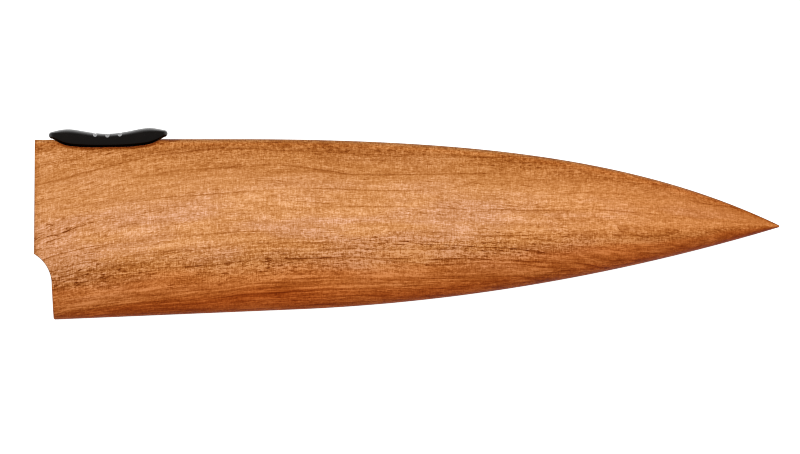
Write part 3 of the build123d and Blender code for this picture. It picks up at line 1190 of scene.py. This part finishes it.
    def face_grid(self) -> tuple[Numbers, int, int]:
        """Places of the outer face's mesh, in the drawing frame.

        Returns:
            The places as columns by rows by coordinates, and the steps along and across.
        """
        nominal = self.columns()
        eased = np.clip(1 - nominal / self.mouth_easing, 0.0, 1.0)
        easing = self.mouth_easing * (1 - np.sqrt(1 - eased**2))
        turned = np.clip(1 - nominal / self.mouth_blend, 0.0, 1.0)
        count = sum(self.ROWS.values()) + 1
        places = np.zeros((len(nominal), count, 3))
        for row in range(count):
            x = nominal.copy()
            for _ in range(self.SETTLING_PASSES):
                y, z = self.section(x, row)
                x = nominal + turned * self.mouth_at(y)
            room = np.maximum(z - self.seam, 0.0)
            z = z - np.minimum(easing, self.EASING_MOST * room)
            places[:, row] = np.stack([x, y, z], axis=1)
        return places, len(nominal) - 1, count - 1

    def build_front(self) -> bpy.types.Object:
        """The front shell: a grid laid over its face, walls down to the glue plane, and rooms.

        Returns:
            The closed shell, without a material.
        """
        places, along, across = self.face_grid()
        shell = add_primitive(
            "wooden_shell_front", bpy.ops.mesh.primitive_grid_add,
            x_subdivisions=along, y_subdivisions=across, size=2,
        )
        unit = np.array([vertex.co[:2] for vertex in shell.data.vertices])
        column = np.rint((unit[:, 0] + 1) / 2 * along).astype(int)
        row = np.rint((unit[:, 1] + 1) / 2 * across).astype(int)
        origin = np.array(DRAWING.point(0, 0))
        shell.data.vertices.foreach_set("co", (origin + MM * places[column, row]).ravel())
        shell.data.update()
        with edit_mode(shell):
            self._add_walls()
        for tool in self._cutters():
            combine(shell, tool, Join.CUT)
        close_up(shell)
        return shell

    def _add_walls(self) -> None:
        """Draws the face's open edge down to the glue plane, in edit mode, and closes it."""
        bpy.ops.mesh.select_mode(type="VERT")
        bpy.ops.mesh.select_all(action="DESELECT")
        bpy.ops.mesh.select_non_manifold()
        centre = DRAWING.point(self.length / 2, -self.height / 2)
        lost = self.seam_inset * self.seam
        inset = (1 - lost / self.length, 1 - lost / self.height)
        for height, scale in ((self.seam, (1.0, 1.0)), (0.0, inset)):
            bpy.ops.mesh.extrude_region_move()
            bpy.ops.transform.resize(
                value=(*scale, 0), center_override=(centre.x, centre.y, centre.z + height * MM)
            )
        bpy.ops.mesh.edge_face_add()
        bpy.ops.mesh.select_all(action="SELECT")
        bpy.ops.mesh.remove_doubles(threshold=MERGE_DISTANCE)
        bpy.ops.mesh.normals_make_consistent(inside=False)

    def _cutters(self) -> Iterator[bpy.types.Object]:
        """Makes the tools that rout the inside.

        Yields:
            One tool after the other.
        """
        yield self._slot_cutter()
        yield self._flare_cutter()
        yield add_slab(
            "rocker_room", self.room_length, self.room_width, self.room_corner,
            self.latch_position, -self.room_drop, self.room_drop,
        )
        yield add_slab(
            "cradle_room", self.cradle_room_length, self.room_width, self.cradle_room_corner,
            self.latch_position, -self.spine_wall - self.cradle_room_floor, self.room_drop / 2,
        )
        for diameter, x, y in self.pins:
            yield add_rod("pin_hole", diameter, self.pin_hole_length, DRAWING.point(x, y))
        for share in self.dowel_shares:
            x = share * self.length
            y = float(self.spine_at(np.float64(x))) - self.spine_wall / 2
            centre = DRAWING.point(x, y)
            yield add_rod("dowel_hole", self.dowel_hole, self.dowel_hole_length, centre)

    def _slot_cutter(self) -> bpy.types.Object:
        """The blade slot, which follows the outline.

        Returns:
            The cutter.
        """
        bends = np.linspace(self.spine_straight_length, self.slot_length, self.SLOT_BENDS)
        stations = [
            Station(
                x,
                float(self.edge_at(np.float64(x))) + self.edge_wall,
                float(self.spine_at(np.float64(x))) - self.spine_wall,
                self.slot_width,
            )
            for x in (-self.slot_overrun, *bends)
        ]
        last, half = stations[-1], self.slot_end / 2
        end = Station(
            last.x + self.slot_end, last.middle - half, last.middle + half, self.slot_width
        )
        return loft("blade_slot", stations[0], (0, 0), [*stations, end])

    def _flare_cutter(self) -> bpy.types.Object:
        """The lead-in at the mouth, on both sides of the slot.

        Returns:
            The cutter, which starts a millimetre before the mouth.
        """
        wide = self.slot_width + 2 * self.slot_flare
        per_length = (wide - self.slot_width) / self.slot_flare_length
        ends = [(-1.0, wide + per_length), (self.slot_flare_length, self.slot_width)]
        stations = [Station(x, -self.mouth_height, -self.spine_wall, width) for x, width in ends]
        return loft("slot_flare", stations[0], (0, 0), stations)

    def build_back(self, front: bpy.types.Object) -> bpy.types.Object:
        """The back shell, a mirrored copy of the front one.

        Args:
            front: The finished front shell.

        Returns:
            The closed shell, without a material.
        """
        select_only(front)
        bpy.ops.object.duplicate(linked=False)
        back = bpy.context.active_object
        back.name = back.data.name = "wooden_shell_back"
        with edit_mode(back):
            bpy.ops.mesh.select_all(action="SELECT")
            bpy.ops.transform.resize(value=(1, 1, -1), center_override=DRAWING.point(0, 0))
        close_up(back)
        return back

    def build(self) -> list[bpy.types.Object]:
        """Builds and dresses both shells, and dresses the dowels between them.

        Returns:
            The two shells.
        """
        front = self.build_front()
        shells = {Side.FRONT: front, Side.BACK: self.build_back(front)}
        for side, shell in shells.items():
            name = side.name.lower()
            wood = GuardWood(f"oiled_wood_{name}", self.BOARD_SHIFTS[side], body=self)
            shell.data.materials.append(wood.make())
            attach(shell, GUARD)
            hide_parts(f"{name}_shell")
            log.info("%s: %d faces", shell.name, len(shell.data.polygons))
        dowel_wood = WoodFinish("dowel_wood", self.DOWEL_SHIFT).make()
        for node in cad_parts:
            if node.startswith("alignment_dowel"):
                dress(node, dowel_wood)
        return list(shells.values())


def dress(node: str, material: bpy.types.Material) -> None:
    """Gives a CAD node that stays in the scene its finish.

    Args:
        node: Name of the node.
        material: What it wears.
    """
    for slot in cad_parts[node].material_slots:
        slot.material = material
    log.info("%s: wears %s", node, material.name)


@dataclass
class ThumbLatch:
    """The rocker in the scoop, and the small parts under it."""

    position: float = LATCH_POSITION
    half_length: float = 17.85
    bar_shift: float = 0.15  # the bar's middle, from the pivot
    width: float = 10.0
    tip_radius: float = 1.05
    tip_rise: float = 1.45
    crest: Span = (0.72, 3.18)  # share of the half length, and rise
    shoulder: Span = (0.385, 2.42)
    waist_rise: float = 1.66
    belly_drop: float = 2.6
    belly_shares: Stops = ((0.5, 0.93), (0.74, 0.64))
    end_corner: float = 3.4
    crown_height: float = 1.15  # how far the top falls from its crest to the faces, at the waist
    crown_reach: float = 4.4  # over what width, on each side
    lower_edge: float = 0.9
    rest_tilt: float = 0.9
    groove_pitch: float = 3.7
    groove_radius: float = 0.7
    groove_drops: Span = (0.12, 1.14)  # below the crest, at it and at the faces
    pivot_drop: float = PIVOT_DROP
    lug_diameter: float = 4.32
    lug_width: float = 5.0
    lug_bore: float = 3.02
    foot_offset: float = -10.0
    foot_length: float = 5.2
    foot_width: float = 3.4
    foot_drop: float = 6.5
    root_drop: float = 0.5  # where the lower parts start, inside the bar
    stop_length: float = 7.4
    stop_width: float = 5.2
    stop_drop: float = 2.743
    peg_diameter: float = 1.8
    peg_length: float = 1.6
    recess_offset: float = 10.0
    recess_diameter: float = 4.0
    recess_top: float = -0.1  # clears the spring, which keeps its length, when pressed down

    BAR_COLUMNS = 71
    TIP_TURNS = (8, 18, 30, 43, 57, 72)  # columns on each tip's rounding, in degrees
    CROWN_SEGMENTS = 9
    SMOOTH_BELOW = 40.0
    CUTTER_OVERRUN = 1.0  # how far a cutter stands out at an open end
    RECESS_CUTTER_LENGTH = 5.0

    @property
    def reach(self) -> float:
        """From the bar's middle to the centre of a tip's rounding."""
        return self.half_length - self.tip_radius

    @property
    def pivot(self) -> Vector:
        """Where the rocker turns, in the row frame."""
        return DRAWING.point(self.position, -self.pivot_drop)

    def mirrored(
        self, middle: float, points: Sequence[Span], end: float
    ) -> Callable[[Numbers], Numbers]:
        """A smooth line that is the same on both sides of the bar's middle.

        Args:
            middle: Height in the middle.
            points: Shares of the half length and heights, from the middle outwards.
            end: Height at the centre of a tip's rounding.

        Returns:
            A function that gives the heights at an array of places.
        """
        right = [*((share * self.half_length, rise) for share, rise in points), (self.reach, end)]
        left = [(-u, rise) for u, rise in reversed(right)]
        return natural_spline([*left, (0.0, middle), *right])

    def top_line(self) -> Callable[[Numbers], Numbers]:
        """The bar's upper outline between the tips' roundings, without the grooves."""
        ends = self.tip_rise + self.tip_radius
        return self.mirrored(self.waist_rise, (self.shoulder, self.crest), ends)

    def low_line(self) -> Callable[[Numbers], Numbers]:
        """The bar's underside between the tips' roundings."""
        points = [(share, -drop * self.belly_drop) for share, drop in self.belly_shares]
        return self.mirrored(-self.belly_drop, points, self.tip_rise - self.tip_radius)

    def stations(self) -> list[Station]:
        """Sections of the bar from the mouth-side tip to the other.

        Returns:
            The sections, at the latch's place along the guard.
        """
        between = np.linspace(-self.reach, self.reach, self.BAR_COLUMNS)
        top, low = self.top_line()(between), self.low_line()(between)
        turn = np.radians(self.TIP_TURNS)
        tip, half = self.reach + self.tip_radius * np.cos(turn), self.tip_radius * np.sin(turn)
        u = np.concatenate([-tip, between, tip[::-1]])
        high = np.concatenate([self.tip_rise + half, top, self.tip_rise + half[::-1]])
        low = np.concatenate([self.tip_rise - half, low, self.tip_rise - half[::-1]])
        past = np.clip(np.abs(u) - (self.half_length - self.end_corner), 0, self.end_corner)
        width = self.width - 2 * (self.end_corner - np.sqrt(self.end_corner**2 - past**2))
        x = self.position + self.bar_shift + u
        return [Station(*sizes) for sizes in zip(x, low, high, width)]

    def build_rocker(self) -> bpy.types.Object:
        """The rocker's moulding: bar, pivot lug, stop and foot, tilted to its rest.

        Returns:
            The closed moulding, without a material.
        """
        narrow = self.width * self.crown_height / self.crown_reach
        waist = Station(self.position, -self.belly_drop, self.waist_rise, narrow)
        corners = self.crown_height, self.lower_edge
        sections = self.stations()
        rocker = loft("thumb_rocker_moulding", waist, corners, sections, self.CROWN_SEGMENTS)
        for tool in self._lower_parts():
            combine(rocker, tool, Join.ADD)
        for tool in (*self._bores(), *self._groove_cutters()):
            combine(rocker, tool, Join.CUT)
        tilt = Matrix.Rotation(math.radians(self.rest_tilt), 4, "Z")
        to, back = Matrix.Translation(self.pivot), Matrix.Translation(-self.pivot)
        rocker.matrix_world = to @ tilt @ back
        select_only(rocker)
        bpy.ops.object.transform_apply(location=True, rotation=True, scale=True)
        close_up(rocker, self.SMOOTH_BELOW)
        return rocker

    def _lower_parts(self) -> Iterator[bpy.types.Object]:
        """Makes the lug, the foot and the stop, which hang in the room under the bar.

        Yields:
            One solid after the other.
        """
        sizes = {
            "neck": (0.0, self.lug_diameter, self.lug_width, -self.pivot_drop),
            "foot": (self.foot_offset, self.foot_length, self.foot_width, -self.foot_drop),
            "stop": (self.foot_offset, self.stop_length, self.stop_width, -self.stop_drop),
        }
        for name, (offset, length, width, low) in sizes.items():
            x = self.position + offset
            yield add_block(
                name,
                DRAWING.point(x - length / 2, low, -width / 2),
                DRAWING.point(x + length / 2, -self.root_drop, width / 2),
            )
        yield add_rod("lug", self.lug_diameter, self.lug_width, self.pivot)

    def _bores(self) -> Iterator[bpy.types.Object]:
        """Makes the cutters of the bush's bore, the shoe peg's hole and the spring's recess.

        Yields:
            One cutter after the other.
        """
        yield add_rod("bush_bore", self.lug_bore, 2 * self.lug_width, self.pivot)
        x, low = self.position + self.foot_offset, -self.foot_drop
        bottom, top = low - self.CUTTER_OVERRUN, low + self.peg_length
        yield add_post("peg_hole", self.peg_diameter, x, bottom, top)
        x, high = self.position + self.recess_offset, self.recess_top
        bottom = high - self.RECESS_CUTTER_LENGTH
        yield add_post("spring_recess", self.recess_diameter, x, bottom, high)

    def _groove_cutters(self) -> Iterator[bpy.types.Object]:
        """Makes the leaning rods that cut the grip grooves, deeper at the faces than between.

        Yields:
            One rod after the other.
        """
        shallow, deep = self.groove_drops
        lean = math.atan2(deep - shallow, self.width / 2)
        length = self.width / 2 + 2 * self.CUTTER_OVERRUN
        for place in (-1, 0, 1):
            u = place * self.groove_pitch
            crest = float(self.top_line()(np.float64(u)))
            height = crest + self.groove_radius - (shallow + deep) / 2
            for side in Side:
                centre = DRAWING.point(self.position + u, height, side.value * self.width / 4)
                turn = side.value * lean
                yield add_rod("grip_groove", 2 * self.groove_radius, length, centre, turn)

    def build(self) -> bpy.types.Object:
        """Builds the rocker, and dresses it and the parts that stay as the CAD made them.

        Returns:
            The rocker.
        """
        rocker = self.build_rocker()
        black = MouldedFinish("black_moulding", (0.0040, 0.0022, 0.0014, 1), 0.25, ior=1.33)
        rocker.data.materials.append(black.make())
        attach(rocker, ROCKER)
        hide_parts("thumb_rocker")
        log.info("%s: %d faces", rocker.name, len(rocker.data.polygons))

        grey = MouldedFinish("cradle_moulding", (0.035, 0.036, 0.038, 1), 0.5).make()
        rubber = MouldedFinish("shoe_rubber", (0.018, 0.017, 0.016, 1), 0.75, relief=0.015).make()
        steel = MetalFinish(
            "drawn_steel", (0.58, 0.58, 0.57, 1), (0.38, 0.36, 0.33, 1), (9.0, 9.0, 0.8)
        ).make()
        brass = MetalFinish(
            "turned_brass", (0.80, 0.58, 0.25, 1), (0.45, 0.30, 0.13, 1), (1.0, 1.0, 12.0)
        ).make()
        finishes = {
            "latch_cradle": grey,
            "brake_shoe": rubber,
            "pivot_pin": steel,
            "cradle_pin_rear": steel,
            "cradle_pin_front": steel,
            "return_spring": steel,
            "pivot_bush": brass,
        }
        for node, finish in finishes.items():
            dress(node, finish)
        return rocker


def add_to_scene(name: str, data: bpy.types.ID) -> bpy.types.Object:
    """Puts a camera or a lamp into the scene.

    Args:
        name: Name of the new object.
        data: The camera or the lamp.

    Returns:
        The new object.
    """
    piece = bpy.data.objects.new(name, data)
    bpy.context.scene.collection.objects.link(piece)
    return piece


@dataclass(frozen=True)
class Lamp:
    """A rectangular light that shines at the guard, in metres and watts."""

    name: str
    place: Triple
    size: Span
    power: float
    glossy: bool  # whether it shows in reflections

    def build(self) -> None:
        """Hangs the lamp, out of the camera's sight."""
        data = bpy.data.lights.new(self.name, "AREA")
        data.shape = "RECTANGLE"
        (data.size, data.size_y), data.energy = self.size, self.power
        lamp = add_to_scene(self.name, data)
        lamp.location = self.place
        lamp.rotation_euler = (-Vector(self.place)).to_track_quat("-Z", "Y").to_euler()
        lamp.visible_camera, lamp.visible_glossy = False, self.glossy


@dataclass
class Studio:
    """White floor, soft lights, and the camera straight above the guard."""

    lens: float = 600.0
    sensor: float = 36.0
    view_width: float = 240.6
    centre: Span = (-2.1, -0.98)
    sky: float = 0.4
    paper: float = 0.40  # how much light the floor throws back at the guard
    glow: float = 0.93  # how much lighter than that the camera and reflections see it
    mottle: float = 0.01  # how much the floor varies

    LAMPS = (
        Lamp("key", (-0.05, 0.68, 0.98), (0.70, 0.70), 9.6, glossy=False),
        Lamp("strip", (-0.05, 0.95, 0.32), (1.30, 0.35), 1.0, glossy=True),
    )
    FLOOR_SIZE, FLOOR_LEVEL = 8.0, -0.0002  # metres
    FILTER_WIDTH = 1.0  # pixels, which makes the render as sharp as the photograph

    def build_camera(self) -> None:
        """Hangs the camera above the guard, at the photograph's framing."""
        data = bpy.data.cameras.new("camera")
        data.lens, data.sensor_width = self.lens, self.sensor
        camera = add_to_scene("camera", data)
        distance = self.lens / self.sensor * self.view_width
        x, y = self.centre
        camera.location = MM * Vector((x, y, DRAWING.glue_plane / MM + distance))
        bpy.context.scene.camera = camera

    def build_lights(self) -> None:
        """A large soft key above the spine's side, a weaker strip, and an even sky."""
        for lamp in self.LAMPS:
            lamp.build()
        world = bpy.data.worlds.new("studio")
        world.use_nodes = True
        bpy.context.scene.world = world
        background = world.node_tree.nodes["Background"].inputs
        background["Color"].default_value = WHITE
        background["Strength"].default_value = self.sky

    def build_floor(self) -> None:
        """A wide white floor that the camera sees a little lighter, with the guard's shadow."""
        floor = add_primitive(
            "floor", bpy.ops.mesh.primitive_plane_add,
            size=self.FLOOR_SIZE, location=(0, 0, self.FLOOR_LEVEL),
        )
        shader = Shader("white_floor")
        grain = shader.place().noise((0.05, 0.05, 0.05))
        pale = grain.spread((0.3, 0.7), (self.paper - self.mottle, self.paper + self.mottle))
        paper = shader.add("BsdfDiffuse", {"Color": shader.grey(pale)})
        path = shader.node("LightPath", {}).outputs
        seen = Value(shader, path["Is Camera Ray"])
        for ray in ("Is Glossy Ray", "Is Transmission Ray"):
            seen = seen.apply("MAXIMUM", Value(shader, path[ray]))
        glow = shader.add("Emission", {"Strength": seen * self.glow})
        shader.node("OutputMaterial", {"Surface": shader.add("AddShader", {0: paper, 1: glow})})
        floor.data.materials.append(shader.material)

    def build(self) -> None:
        """Sets up the whole studio."""
        self.build_camera()
        self.build_lights()
        self.build_floor()
        bpy.context.scene.view_settings.view_transform = "Standard"
        bpy.context.scene.cycles.filter_width = self.FILTER_WIDTH


def main() -> None:
    """Builds the guard, the latch and the studio."""
    logging.basicConfig(level=logging.INFO, format="%(message)s", force=True)
    WoodenBody().build()
    ThumbLatch().build()
    Studio().build()


if __name__ == "__main__":
    main()
